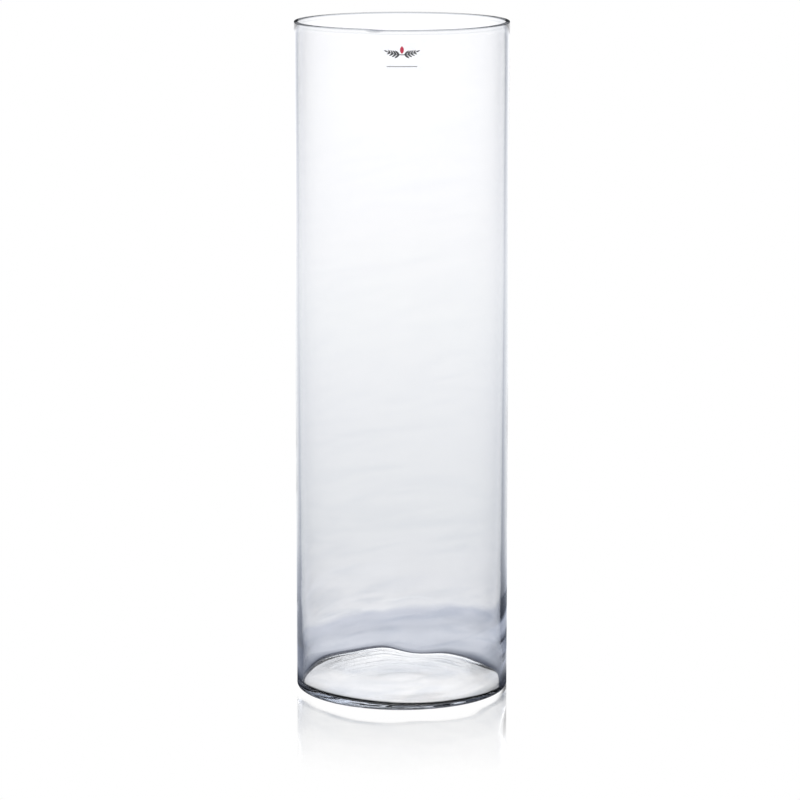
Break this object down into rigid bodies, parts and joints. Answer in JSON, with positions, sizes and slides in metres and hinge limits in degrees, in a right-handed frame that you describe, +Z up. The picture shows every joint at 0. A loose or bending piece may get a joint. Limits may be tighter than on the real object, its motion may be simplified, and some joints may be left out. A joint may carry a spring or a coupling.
{
  "type": "glass cylinder vase",
  "caption": "Tall clear blown-glass cylinder vase, open at the top, standing on a narrow ring round a slightly hollow base, with a small clear film label; holds water and long-stemmed flowers.",
  "frame": {"origin": "centre of the plane that the vase stands on", "axes": "+Z up along the cylinder's axis and out of the mouth, -Y towards the front, which carries the label"},
  "size_m": [0.19, 0.1903, 0.6],
  "materials": {
    "clear_glass": "clear blown soda-lime glass, fire-polished, faintly wavy",
    "adhesive_clear": "clear adhesive coat",
    "film_clear": "clear glossy film",
    "ink_dark": "matt printing ink",
    "ink_red": "matt printing ink",
    "ink_grey": "matt printing ink"
  },
  "bodies": {
    "root": {"vessel": "clear_glass", "label_adhesive": "adhesive_clear", "label_film": "film_clear", "print_garland": "ink_dark", "print_bud": "ink_red", "print_rule": "ink_grey"}
  },
  "joints": []
}
